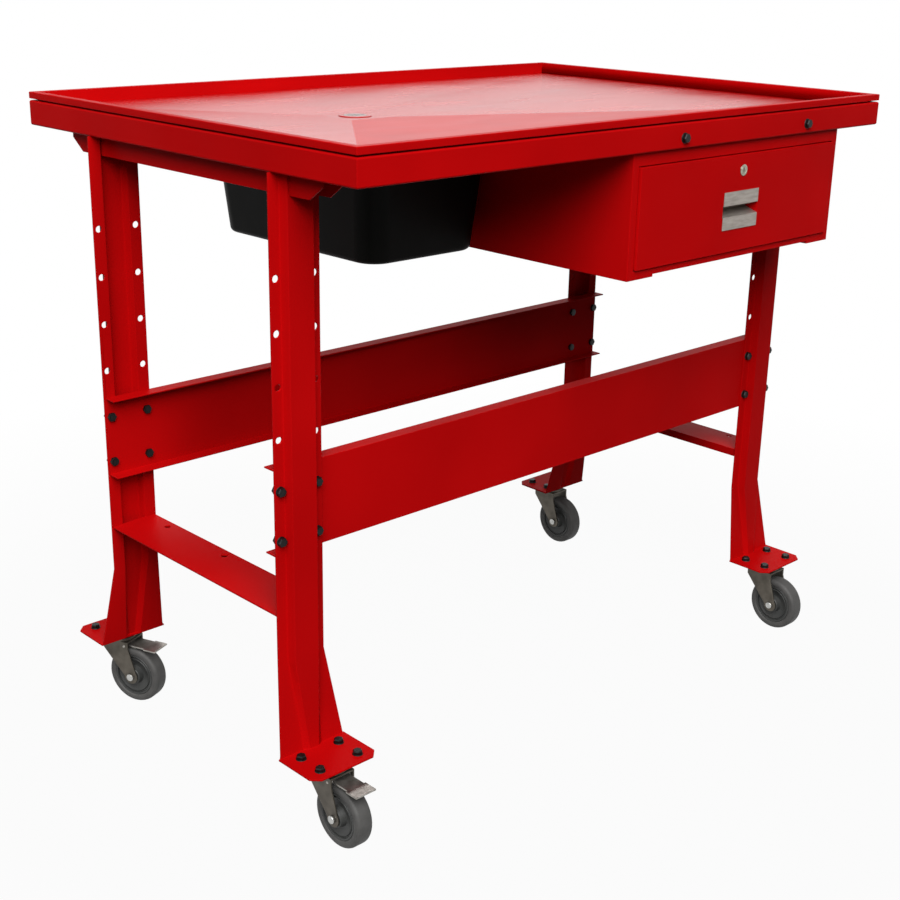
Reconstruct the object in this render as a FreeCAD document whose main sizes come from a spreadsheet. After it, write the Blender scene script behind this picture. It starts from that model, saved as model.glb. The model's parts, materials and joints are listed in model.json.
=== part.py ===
import FreeCAD, Part
import math
import os
import Sketcher

# A rolling service bench: a tray top on four hat-section legs with casters, a drawer and a drain pan.
# Origin on the floor at the middle of the footprint. X runs along the length, the drawer faces -Y, Z is up.
# Lengths are in millimetres.

SIZES = {
    # Overall
    "top_depth": 808,
    "leg_height": 861,
    # Tray top and its apron rails
    "top_gauge": 2,
    "skirt_height": 39,
    "shadow_gap": 2.5,
    "lip_height": 10.5,
    "lip_width": 12,
    "rim_depth": 21,
    "floor_fall": 9,
    "tray_ledge": 20,
    "apron_flange": 28,
    "side_apron_flange": 60,
    "bend_radius": 3,
    "lip_round": 1.5,
    # Drain
    "drain_back": 60,
    "drain_flat": 90,
    "drain_flange_diameter": 54,
    "drain_flange_thickness": 1.5,
    "drain_tail_diameter": 42,
    "drain_bore": 34,
    "drain_tail_length": 32,
    "drain_hole_fit": 0.4,
    "drain_nut_width": 62,
    "drain_nut_height": 9,
    "thread_fit": 0.05,
    "strainer_diameter": 38,
    "strainer_thickness": 1.2,
    "strainer_hole": 3.6,
    "strainer_pitch": 6,
    # Bearers under the tray
    "bearer_width": 40,
    "bearer_height": 19,
    "bearer_tab": 25,
    "bearer_cope": 1,
    "drawer_bearer_spacing": 328,
    # Drain pan and its runners
    "pan_width": 232,
    "pan_length": 390,
    "pan_depth": 155,
    "pan_back": 20,
    "pan_left_gap": 178.5,
    "pan_side_gap": 0.5,
    "pan_spread": 14,
    "pan_wall": 3,
    "pan_rim": 12,
    "pan_corner": 40,
    "pan_foot_round": 9,
    "pan_drop": 26,
    "runner_gap": 0.5,
    "runner_ledge": 10,
    "runner_flange": 24,
    "runner_overlap": 12,
    "runner_screw_inset": 70,
    # Drawer housing
    "housing_width": 544,
    "housing_side_gap": 54,
    "housing_height": 188,
    "housing_depth": 480,
    "housing_setback": 8,
    "housing_gauge": 1.5,
    "housing_stile": 14,
    "housing_head": 20,
    "housing_sill": 10,
    "housing_strap": 110,
    "housing_flange": 45,
    "housing_hem": 4,
    "housing_hem_width": 62,
    "housing_bolt_front": 80,
    "housing_bolt_rear": 60,
    # Drawer
    "drawer_gap": 1.5,
    "drawer_proud": 4,
    "drawer_front_depth": 16,
    "drawer_gauge": 1.2,
    "drawer_box_height": 98,
    "drawer_box_length": 440,
    "drawer_box_lift": 8,
    "slide_height": 45,
    "slide_thickness": 12.5,
    "slide_gauge": 1.5,
    "slide_play": 0.3,
    "slide_lift": 26,
    "slide_foot_length": 30,
    "slide_end_gap": 12,
    # Pull and lock
    "pull_width": 92,
    "pull_height": 61,
    "pull_gauge": 1.2,
    "pull_trough": 18,
    "pull_trough_depth": 24,
    "pull_window_gap": 1,
    "pull_drop": 88,
    "pull_upper": 22,
    "lock_drop": 25,
    "lock_flange_diameter": 18,
    "lock_flange_thickness": 1.5,
    "lock_body_diameter": 15,
    "lock_body_length": 17,
    "lock_plug_diameter": 12,
    "lock_fit": 0.05,
    "key_slot_width": 2,
    "key_slot_height": 8,
    "key_slot_depth": 4,
    "cam_length": 42,
    "cam_width": 10,
    "cam_thickness": 2,
    # Legs
    "leg_inset": 39.5,
    "leg_overhang": 177,
    "leg_width": 85,
    "leg_gauge": 3,
    "rib_base": 50,
    "rib_face": 44,
    "rib_depth": 14,
    "hole_column_spacing": 66,
    "hole_pitch": 76.2,
    "hole_drop": 142.4,
    "hole_diameter": 10.5,
    "flare_height": 146,
    "flare_out": 24,
    "flare_width": 119,
    "flare_rib_base": 34,
    "flare_rib_face": 16,
    "flare_rib_depth": 5,
    "foot_reach": 107,
    "foot_width": 124,
    "foot_corner": 13,
    "foot_bolt_reach": 64,
    "foot_bolt_spacing_x": 71.4,
    "foot_bolt_spacing_y": 44.5,
    "foot_hole_diameter": 9,
    # Rails between front and rear legs
    "rail_gauge": 3,
    "rail_clearance": 0.5,
    "top_rail_height": 31,
    "top_rail_length": 622,
    "top_rail_cut_length": 28,
    "top_rail_cut_height": 20,
    "top_rail_bolt_inset": 26,
    "top_rail_bolt_side": 4,
    "foot_rail_rise": 225,
    "foot_rail_width": 80,
    "foot_rail_fall": 3,
    "foot_rail_flange": 15,
    "foot_rail_hole_offset": 25,
    "foot_rail_hole_end": 62,
    # Stringers
    "stringer_height": 133,
    "stringer_flange": 24,
    "stringer_gauge": 2.5,
    "stringer_rise": 4,
    "stringer_end_inset": 2,
    # Bolts and nuts
    "bolt_diameter": 9.5,
    "bolt_head_width": 15,
    "bolt_head_height": 5.5,
    "bolt_flange_diameter": 15.6,
    "bolt_flange_thickness": 1.5,
    "nut_height": 5,
    "nut_width": 16,
    "bolt_tail": 0.5,
    "bolt_clearance": 0.5,
    "small_bolt_diameter": 8,
    "small_head_width": 15,
    "small_flange_diameter": 16.5,
    "skirt_bolt_height": 16,
    # Casters
    "caster_height": 130,
    "caster_trail": 33.5,
    "caster_plate_length": 95,
    "caster_plate_width": 67,
    "caster_plate_gauge": 3.5,
    "race_diameter": 54,
    "race_height": 6,
    "swivel_gap": 0.4,
    "crown_diameter": 56,
    "crown_height": 4,
    "kingpin_diameter": 12,
    "kingpin_head_diameter": 20,
    "kingpin_head_height": 3,
    "kingpin_fit": 0.05,
    "fork_gauge": 3,
    "fork_back": 24,
    "fork_front": 30,
    "fork_shoulder": 14,
    "fork_eye": 13,
    "wheel_diameter": 101.6,
    "wheel_width": 30,
    "tyre_depth": 13,
    "tread_round": 7,
    "hub_boss_diameter": 30,
    "hub_boss_width": 38,
    "hub_rim": 4,
    "hub_dish": 7,
    "hub_play": 1,
    "axle_diameter": 10,
    "axle_fit": 0.05,
    "axle_head_diameter": 13,
    "axle_head_height": 4,
    # Brake pedals
    "pedal_pin_diameter": 5,
    "pedal_pin_forward": 22,
    "pedal_pin_drop": 5.5,
    "pedal_fit": 0.05,
    "pedal_gauge": 3,
    "pedal_width": 32,
    "pedal_reach": 84,
    "pedal_heel": 4,
    "pedal_pad": 24,
    "pedal_pad_width": 38,
    "pedal_shoe_length": 16,
    "pedal_shoe_height": 2,
    "pedal_side_play": 1,
    # Every cut runs past the face that it leaves by this much
    "overrun": 5,
}

HOLE_ROWS = 6
STRAINER_RINGS = (1, 2)
REAR_LEFT_SWIVEL = 22
PLUS_MINUS = (1, -1)


class Size:
    """A length that keeps its number and the sheet formula that gives it."""

    def __init__(self, number, formula):
        self.number = number
        self.formula = formula

    def __add__(self, other):
        return Size(self.number + number_of(other), f"({self.formula} + {formula_of(other)})")

    def __sub__(self, other):
        return Size(self.number - number_of(other), f"({self.formula} - {formula_of(other)})")

    def __mul__(self, factor):
        return Size(self.number * factor, f"({self.formula} * {factor!r})")

    def __rmul__(self, factor):
        return self * factor

    def __truediv__(self, divisor):
        return Size(self.number / divisor, f"({self.formula} / {divisor!r})")

    def __neg__(self):
        return self * -1


def number_of(value):
    return value.number if isinstance(value, Size) else value


def formula_of(value):
    return value.formula if isinstance(value, Size) else repr(value)


class Sheet:
    """The driving dimensions, each under its own name."""


ZERO = Size(0, "0")

doc = FreeCAD.newDocument("service_bench")
sheet = doc.addObject("Spreadsheet::Sheet", "Sizes")
s = Sheet()
for row, (name, value) in enumerate(SIZES.items(), 1):
    sheet.set(f"A{row}", name)
    sheet.set(f"B{row}", str(value))
    sheet.setAlias(f"B{row}", name)
    setattr(s, name, Size(value, f"Sizes.{name}"))
doc.recompute()

nodes = []


# Helpers: each makes one object of the document and binds its sizes to the sheet

def bind(item, name, value):
    item.setExpression(name, formula_of(value))


def move(item, x, y, z):
    for axis, value in zip("xyz", (x, y, z)):
        bind(item, f"Placement.Base.{axis}", value)


def ordered(ends):
    return sorted(ends, key=number_of)


def about(middle, width):
    """The two ends of a span of this width about its middle."""
    return (middle - width / 2, middle + width / 2)


def box(x_ends, y_ends, z_ends):
    spans = [ordered(ends) for ends in (x_ends, y_ends, z_ends)]
    item = doc.addObject("Part::Box", "block")
    for name, (low, high) in zip(("Length", "Width", "Height"), spans):
        bind(item, name, ZERO + high - low)
    move(item, *[low for low, high in spans])
    return item


def turned(item, axis):
    """Turns a piece built along Z so that it runs along the given axis."""
    turns = {
        "x": FreeCAD.Rotation(FreeCAD.Vector(0, 1, 0), 90),
        "y": FreeCAD.Rotation(FreeCAD.Vector(1, 0, 0), -90),
        "z": FreeCAD.Rotation(),
    }
    item.Placement = FreeCAD.Placement(FreeCAD.Vector(), turns[axis])


def rod(radius, axis, ends, across):
    """A round bar along an axis, between two ends, at the other two coordinates."""
    low, high = ordered(ends)
    item = doc.addObject("Part::Cylinder", "rod")
    turned(item, axis)
    bind(item, "Radius", radius)
    bind(item, "Height", ZERO + high - low)
    first, second = across
    at = {"x": (low, first, second), "y": (first, low, second), "z": (first, second, low)}[axis]
    move(item, *at)
    return item


def hexagon(width, axis, ends, across):
    """A hexagonal bar, given by its width over the corners."""
    low, high = ordered(ends)
    item = doc.addObject("Part::Prism", "hexagon")
    item.Polygon = 6
    turned(item, axis)
    bind(item, "Circumradius", width / 2)
    bind(item, "Height", ZERO + high - low)
    first, second = across
    at = {"x": (low, first, second), "y": (first, low, second), "z": (first, second, low)}[axis]
    move(item, *at)
    return item


def joined(*items):
    whole = doc.addObject("Part::MultiFuse", "joined")
    whole.Shapes = list(items)
    whole.Refine = True
    return whole


def cut(base, *tools):
    result = doc.addObject("Part::Cut", "cut")
    result.Base = base
    result.Tool = tools[0] if len(tools) == 1 else joined(*tools)
    result.Refine = True
    return result


def group(items):
    result = doc.addObject("Part::Compound", "group")
    result.Links = list(items)
    return result


def rounded(base, radius, chosen):
    """Rounds the edges of a piece that the given test picks out."""
    doc.recompute()
    result = doc.addObject("Part::Fillet", "rounded")
    result.Base = base
    picked = [i for i, edge in enumerate(base.Shape.Edges, 1) if chosen(edge)]
    result.Edges = [(i, radius.number, radius.number) for i in picked]
    return result


def frustum(low_x, low_y, high_x, high_y, z_low, z_high):
    """A block whose level top and bottom are different rectangles."""
    item = doc.addObject("Part::Wedge", "frustum")
    upright = FreeCAD.Rotation(FreeCAD.Vector(1, 0, 0), 90)
    item.Placement = FreeCAD.Placement(FreeCAD.Vector(), upright)
    sides = {
        "Ymin": ZERO, "Ymax": z_high - z_low,
        "Xmin": low_x[0], "Xmax": low_x[1], "X2min": high_x[0], "X2max": high_x[1],
        "Zmin": -low_y[1], "Zmax": -low_y[0], "Z2min": -high_y[1], "Z2max": -high_y[0],
    }
    for name, value in sides.items():
        setattr(item, name, value.number)
        bind(item, name, value)
    bind(item, "Placement.Base.z", z_low)
    return item


def new_body():
    return doc.addObject("PartDesign::Body", "body")


def sketch_on(body, plane, level):
    """An empty sketch on one of the body's own planes, raised along its normal."""
    support = [item for item in body.Origin.OriginFeatures if item.Role == plane][0]
    sketch = body.newObject("Sketcher::SketchObject", "sketch")
    sketch.AttachmentSupport = (support, [""])
    sketch.MapMode = "FlatFace"
    bind(sketch, "AttachmentOffset.Base.z", level)
    return sketch


def pin(sketch, geometry, point, x, y):
    """Fixes one point of a sketch by its two distances from the origin."""
    for kind, value in (("DistanceX", x), ("DistanceY", y)):
        row = sketch.addConstraint(Sketcher.Constraint(kind, -1, 1, geometry, point, float(number_of(value))))
        bind(sketch, f"Constraints[{row}]", value)


def add_outline(sketch, points):
    """A closed outline through the given points."""
    first = sketch.GeometryCount
    count = len(points)
    spots = [FreeCAD.Vector(number_of(x), number_of(y), 0) for x, y in points]
    for i in range(count):
        sketch.addGeometry(Part.LineSegment(spots[i], spots[(i + 1) % count]), False)
    for i in range(count):
        sketch.addConstraint(Sketcher.Constraint("Coincident", first + i, 2, first + (i + 1) % count, 1))
    for i, (x, y) in enumerate(points):
        pin(sketch, first + i, 1, x, y)


def add_circle(sketch, x, y, diameter):
    middle = FreeCAD.Vector(number_of(x), number_of(y), 0)
    circle = sketch.addGeometry(Part.Circle(middle, FreeCAD.Vector(0, 0, 1), diameter.number / 2), False)
    pin(sketch, circle, 3, x, y)
    row = sketch.addConstraint(Sketcher.Constraint("Diameter", circle, diameter.number))
    bind(sketch, f"Constraints[{row}]", diameter)


def pad(body, sketch, length):
    feature = body.newObject("PartDesign::Pad", "pad")
    feature.Profile = sketch
    bind(feature, "Length", length)
    return feature


def pocket_through(body, sketch, backwards):
    feature = body.newObject("PartDesign::Pocket", "pocket")
    feature.Profile = sketch
    feature.Type = "ThroughAll"
    feature.Reversed = backwards
    return feature


def keep(item, label):
    """Names a finished sub-part."""
    item.Label = label
    nodes.append(item)
    return item


def screw(axis, near, tip, across, side, sizes):
    """A flange screw from the face under its flange to its tip; the side is where the head is."""
    shank, head, flange = sizes
    head_seat = near + side * s.bolt_flange_thickness
    head_top = head_seat + side * s.bolt_head_height
    return joined(
        hexagon(head, axis, (head_seat, head_top), across),
        rod(flange / 2, axis, (near, head_seat), across),
        rod(shank / 2, axis, (near, tip), across))


def bolt(axis, ends, across, side, sizes):
    """A flange screw with its nut; the ends are the clamped faces."""
    near, far = ordered(ends) if side < 0 else ordered(ends)[::-1]
    nut_end = far - side * s.nut_height
    bore = sizes[0] / 2 + s.thread_fit
    nut = cut(
        hexagon(s.nut_width, axis, (far, nut_end), across),
        rod(bore, axis, (far + side * s.overrun, nut_end - side * s.overrun), across))
    return [screw(axis, near, nut_end - side * s.bolt_tail, across, side, sizes), nut]


LARGE_BOLT = (s.bolt_diameter, s.bolt_head_width, s.bolt_flange_diameter)
SMALL_BOLT = (s.small_bolt_diameter, s.small_head_width, s.small_flange_diameter)


def bolt_hole(axis, ends, across, sizes):
    low, high = ordered(ends)
    return rod(sizes[0] / 2 + s.bolt_clearance, axis, (low - s.overrun, high + s.overrun), across)


# The length follows from what hangs between the legs: the pan's bay and the drawer's housing

rail_width = s.rib_face - 2 * s.leg_gauge - 2 * s.rail_clearance
pan_rim_half = s.pan_width / 2 + s.pan_spread + s.pan_rim
runner_web = pan_rim_half + s.runner_gap
pan_bearer_offset = runner_web - s.runner_overlap
pan_bay = 2 * pan_bearer_offset + s.bearer_width
leg_span = rail_width + s.pan_left_gap + pan_bay + s.pan_side_gap + s.housing_width + s.housing_side_gap
top_length = leg_span + 2 * s.leg_inset
half_length = top_length / 2
leg_x = leg_span / 2
drawer_x = leg_x - rail_width / 2 - s.housing_side_gap - s.housing_width / 2
drain_x = drawer_x - s.housing_width / 2 - s.pan_side_gap - pan_bay / 2

# Levels and planes that several pieces share

half_depth = s.top_depth / 2
skirt_bottom = s.caster_height + s.leg_height
flange_top = skirt_bottom + s.top_gauge
skirt_top = skirt_bottom + s.skirt_height
lip_bottom = skirt_top + s.shadow_gap
rim_top = lip_bottom + s.lip_height
floor_edge = rim_top - s.rim_depth
floor_low = floor_edge - s.floor_fall
ledge_top = floor_edge - s.top_gauge
wall_plane = s.lip_width - s.top_gauge
leg_plane = half_depth - s.leg_overhang
drain_y = s.drain_back
top_rail_bolt_x = leg_x + s.top_rail_bolt_side
top_rail_bolt_y = s.top_rail_length / 2 - s.top_rail_bolt_inset


# Strips along the four edges of the top, each drawn as the front one and then turned to its side

FRONT = (top_length, half_depth, 0)
REAR = (top_length, half_depth, 180)
RIGHT = (s.top_depth, half_length, 90)
LEFT = (s.top_depth, half_length, -90)


def mitred_strip(side, profile, reach, corners, radius):
    """A strip with mitred ends; its profile is given inward from the edge and up from the ground."""
    length, offset, angle = side
    body = new_body()
    section = sketch_on(body, "YZ_Plane", -length / 2)
    add_outline(section, [(inward - offset, up) for inward, up in profile])
    pad(body, section, length)
    doc.recompute()
    near = s.top_gauge.number / 2
    lines = [(number_of(inward - offset), number_of(up)) for inward, up in corners]
    strip = body.Tip
    picked = [f"Edge{i}" for i, edge in enumerate(strip.Shape.Edges, 1)
              if abs(edge.CenterOfMass.x) < near
              and any(math.dist((edge.CenterOfMass.y, edge.CenterOfMass.z), line) < near for line in lines)]
    bend = body.newObject("PartDesign::Fillet", "bend")
    bend.Base = (strip, picked)
    bind(bend, "Radius", radius)
    mitre = sketch_on(body, "XY_Plane", ZERO)
    past = reach + s.overrun
    for end in PLUS_MINUS:
        add_outline(mitre, [
            (end * (length / 2 + s.overrun), -offset - s.overrun),
            (end * (length / 2 + s.overrun), past - offset),
            (end * (length / 2 - past), past - offset)])
    pocket_through(body, mitre, True)
    body.Placement = FreeCAD.Placement(FreeCAD.Vector(), FreeCAD.Rotation(FreeCAD.Vector(0, 0, 1), angle))
    return body


# Tray top: a floor pan that falls to the drain, welded inside four rim strips

def top_tray():
    gauge = s.top_gauge
    basin_x = about(ZERO, top_length - 2 * s.lip_width)
    basin_y = about(ZERO, s.top_depth - 2 * s.lip_width)
    flat_x = about(drain_x, s.drain_flat)
    flat_y = about(drain_y, s.drain_flat)
    dish_x = about(ZERO, top_length - 2 * (wall_plane + s.tray_ledge))
    dish_y = about(ZERO, s.top_depth - 2 * (wall_plane + s.tray_ledge))
    border = box(basin_x, basin_y, (ledge_top, floor_edge))
    dish = frustum(flat_x, flat_y, dish_x, dish_y, floor_low - gauge, ledge_top)
    hollow = frustum(flat_x, flat_y, dish_x, dish_y, floor_low, floor_edge)
    hole_radius = s.drain_tail_diameter / 2 + s.drain_hole_fit
    hole = rod(hole_radius, "z", (floor_low - gauge - s.overrun, rim_top), (drain_x, drain_y))
    pan = cut(joined(border, dish), hollow, hole)
    profile = [
        (ZERO, lip_bottom), (ZERO, rim_top), (s.lip_width, rim_top), (s.lip_width, ledge_top),
        (wall_plane, ledge_top), (wall_plane, rim_top - gauge), (gauge, rim_top - gauge), (gauge, lip_bottom),
    ]
    rims = [mitred_strip(side, profile, s.lip_width, [(ZERO, rim_top)], s.lip_round)
            for side in (FRONT, REAR, RIGHT, LEFT)]
    keep(group([pan, *rims]), "top_tray")


# Apron rails below the rim, with a ledge for the tray and a flange at the bottom

def apron_rail(label, side, flange, skirt_holes, flange_holes):
    gauge = s.top_gauge
    ledge_end = wall_plane + s.tray_ledge
    profile = [
        (flange, skirt_bottom), (ZERO, skirt_bottom), (ZERO, skirt_top), (wall_plane, skirt_top),
        (wall_plane, ledge_top), (ledge_end, ledge_top), (ledge_end, ledge_top - gauge),
        (wall_plane - gauge, ledge_top - gauge), (wall_plane - gauge, skirt_top - gauge),
        (gauge, skirt_top - gauge), (gauge, flange_top), (flange, flange_top),
    ]
    corners = [(ZERO, skirt_bottom), (ZERO, skirt_top)]
    body = mitred_strip(side, profile, flange + s.tray_ledge, corners, s.bend_radius)
    hole = s.small_bolt_diameter + 2 * s.bolt_clearance
    if skirt_holes:
        front = sketch_on(body, "XZ_Plane", ZERO)
        for x in skirt_holes:
            add_circle(front, x, skirt_bottom + s.skirt_bolt_height, hole)
        pocket_through(body, front, True)
    if flange_holes:
        below = sketch_on(body, "XY_Plane", ZERO)
        for x, y in flange_holes:
            add_circle(below, x, y, hole)
        pocket_through(body, below, True)
    keep(body, label)


drawer_bearer_x = [drawer_x + side * s.drawer_bearer_spacing / 2 for side in PLUS_MINUS]


def aprons():
    mirrored_x = [-x for x in drawer_bearer_x]
    rail_holes = [(end * top_rail_bolt_y, -top_rail_bolt_x) for end in PLUS_MINUS]
    apron_rail("apron_front", FRONT, s.apron_flange, drawer_bearer_x, [])
    apron_rail("apron_rear", REAR, s.apron_flange, mirrored_x, [])
    apron_rail("apron_right", RIGHT, s.side_apron_flange, [], rail_holes)
    apron_rail("apron_left", LEFT, s.side_apron_flange, [], rail_holes)


# Bearers: channels from the front skirt to the rear skirt, with end tabs that stand on the apron flanges

inner_skirt = half_depth - s.top_gauge
pan_x = drain_x
pan_y = drain_y + s.pan_back
runner_screw_y = [pan_y + end * (s.pan_length / 2 - s.runner_screw_inset) for end in PLUS_MINUS]
housing_front = -(half_depth - s.housing_setback)
housing_rear = housing_front + s.housing_depth
housing_bolt_y = [housing_front + s.housing_bolt_front, housing_rear - s.housing_bolt_rear]


def bearer(label, x, holes, tab_holes):
    gauge = s.top_gauge
    span = about(x, s.bearer_width)
    trough = about(x, s.bearer_width - 2 * gauge)
    top = skirt_bottom + s.bearer_height
    channel = cut(
        box(span, (-inner_skirt, inner_skirt), (skirt_bottom, top)),
        box(trough, (-inner_skirt - s.overrun, inner_skirt + s.overrun), (flange_top, top + s.overrun)))
    pieces = [channel]
    tools = []
    cope = half_depth - s.apron_flange - s.bearer_cope
    for end in PLUS_MINUS:
        pieces.append(box(span, (end * inner_skirt, end * (inner_skirt - gauge)),
                          (flange_top, skirt_bottom + s.bearer_tab)))
        tools.append(box((x - s.bearer_width, x + s.bearer_width),
                         (end * cope, end * (inner_skirt + s.overrun)),
                         (skirt_bottom - s.overrun, flange_top)))
        if tab_holes:
            tools.append(bolt_hole("y", (end * inner_skirt, end * (inner_skirt - gauge)),
                                   (x, skirt_bottom + s.skirt_bolt_height), SMALL_BOLT))
    for hole_x, hole_y in holes:
        tools.append(bolt_hole("z", (skirt_bottom, flange_top), (hole_x, hole_y), SMALL_BOLT))
    keep(cut(joined(*pieces), *tools), label)


def bearers():
    for side, name in zip(PLUS_MINUS, ("right", "left")):
        x = pan_x + side * pan_bearer_offset
        bearer(f"pan_bearer_{name}", x, [(x, y) for y in runner_screw_y], False)
    for x, name in zip(drawer_bearer_x, ("right", "left")):
        bearer(f"drawer_bearer_{name}", x, [(x, y) for y in housing_bolt_y], True)
    bolts = []
    for x in drawer_bearer_x:
        for end in PLUS_MINUS:
            clamped = (end * half_depth, end * (inner_skirt - s.top_gauge))
            bolts += bolt("y", clamped, (x, skirt_bottom + s.skirt_bolt_height), end, SMALL_BOLT)
    keep(group(bolts), "skirt_bolts")


# Drain: a flanged fitting through the tray's flat, a strainer in its mouth and a nut below

def drain():
    at = (drain_x, drain_y)
    flange_top_z = floor_low + s.drain_flange_thickness
    tail_end = floor_low - s.drain_tail_length
    seat = flange_top_z - s.strainer_thickness
    fitting = cut(
        joined(
            rod(s.drain_flange_diameter / 2, "z", (floor_low, flange_top_z), at),
            rod(s.drain_tail_diameter / 2, "z", (tail_end, flange_top_z), at)),
        rod(s.drain_bore / 2, "z", (tail_end - s.overrun, flange_top_z + s.overrun), at),
        rod(s.strainer_diameter / 2, "z", (seat, flange_top_z + s.overrun), at))
    keep(fitting, "drain_fitting")
    places = [(drain_x, drain_y)]
    for ring in STRAINER_RINGS:
        count = 6 * ring
        for i in range(count):
            turn = 2 * math.pi * i / count
            radius = s.strainer_pitch * ring
            places.append((drain_x + radius * math.cos(turn), drain_y + radius * math.sin(turn)))
    z_ends = (seat - s.overrun, flange_top_z + s.overrun)
    holes = [rod(s.strainer_hole / 2, "z", z_ends, place) for place in places]
    keep(cut(rod(s.strainer_diameter / 2, "z", (seat, flange_top_z), at), *holes), "drain_strainer")
    nut_top = floor_low - s.top_gauge
    nut_bottom = nut_top - s.drain_nut_height
    nut = cut(
        hexagon(s.drain_nut_width, "z", (nut_bottom, nut_top), at),
        rod(s.drain_tail_diameter / 2 + s.thread_fit, "z", (nut_bottom - s.overrun, nut_top + s.overrun), at))
    keep(nut, "drain_locknut")


# Drain pan: a tapered tub with a rim that hangs on two runners

pan_rim_low = skirt_bottom - s.pan_drop
pan_bottom = pan_rim_low - s.pan_depth


def pan_tub(inset, floor_raise, z_top, corner):
    """The pan's outer form, or its hollow when inset by the wall."""
    bottom_x = about(pan_x, s.pan_width - 2 * inset)
    bottom_y = about(pan_y, s.pan_length - 2 * inset)
    top_x = about(pan_x, s.pan_width + 2 * s.pan_spread - 2 * inset)
    top_y = about(pan_y, s.pan_length + 2 * s.pan_spread - 2 * inset)
    low = pan_bottom + floor_raise
    tub = frustum(bottom_x, bottom_y, top_x, top_y, low, z_top)
    middle = (low.number + z_top.number) / 2
    tub = rounded(tub, corner, lambda edge: abs(edge.CenterOfMass.z - middle) < s.overrun.number)
    is_low = lambda edge: abs(edge.CenterOfMass.z - low.number) < s.pan_wall.number / 3
    return rounded(tub, s.pan_foot_round, is_low)


def drain_pan():
    rim_high = pan_rim_low + s.pan_wall
    rim_x = about(pan_x, 2 * pan_rim_half)
    rim_y = about(pan_y, s.pan_length + 2 * s.pan_spread + 2 * s.pan_rim)
    upright = lambda edge: abs(edge.Vertexes[0].Z - edge.Vertexes[-1].Z) > s.pan_wall.number / 2
    rim = rounded(box(rim_x, rim_y, (pan_rim_low, rim_high)), s.pan_corner, upright)
    outside = pan_tub(ZERO, ZERO, rim_high, s.pan_corner)
    inside = pan_tub(s.pan_wall, s.pan_wall, rim_high, s.pan_corner - s.pan_wall)
    keep(cut(joined(outside, rim), inside), "drain_pan")


def pan_runners():
    gauge = s.top_gauge
    y_ends = about(pan_y, s.pan_length + 2 * s.pan_spread + 2 * s.pan_rim)
    ledge_z = (pan_rim_low - gauge, pan_rim_low)
    screws = []
    for side, name in zip(PLUS_MINUS, ("right", "left")):
        web = pan_x + side * runner_web
        top = box((web, web - side * s.runner_flange), y_ends, (skirt_bottom - gauge, skirt_bottom))
        upright = box((web, web + side * gauge), (y_ends[0], y_ends[1] + gauge),
                      (pan_rim_low - gauge, skirt_bottom))
        ledge = box((web, web - side * s.runner_ledge), (y_ends[0], y_ends[1] + gauge), ledge_z)
        stop = box((web, web - side * s.runner_ledge), (y_ends[1], y_ends[1] + gauge),
                   (pan_rim_low, skirt_bottom))
        x = pan_x + side * pan_bearer_offset
        holes = [bolt_hole("z", (skirt_bottom - gauge, skirt_bottom), (x, y), SMALL_BOLT)
                 for y in runner_screw_y]
        keep(cut(joined(top, upright, ledge, stop), *holes), f"pan_runner_{name}")
        for y in runner_screw_y:
            screws += bolt("z", (skirt_bottom - gauge, flange_top), (x, y), -1, SMALL_BOLT)
    keep(group(screws), "pan_runner_screws")


# Legs: a folded hat section that flares out into a bent foot

foot_top = s.caster_height + s.leg_gauge
hole_rows = [skirt_bottom - s.hole_drop - row * s.hole_pitch for row in range(HOLE_ROWS)]
notch_bottom = skirt_bottom - s.top_rail_height


def hat(width, base, face, depth, shift):
    """The closed outline of a hat section; its crown points to -Y."""
    gauge = s.leg_gauge
    right = [
        (width / 2, gauge), (width / 2, ZERO), (base / 2, ZERO), (face / 2, -depth),
    ]
    right_inner = [(face / 2 - gauge, gauge - depth), (base / 2 - gauge, gauge)]
    left = [(-x, y) for x, y in right]
    left_inner = [(-x, y) for x, y in right_inner]
    outline = right + left[::-1] + left_inner[::-1] + right_inner
    return [(x, y - shift) for x, y in outline]


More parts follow.
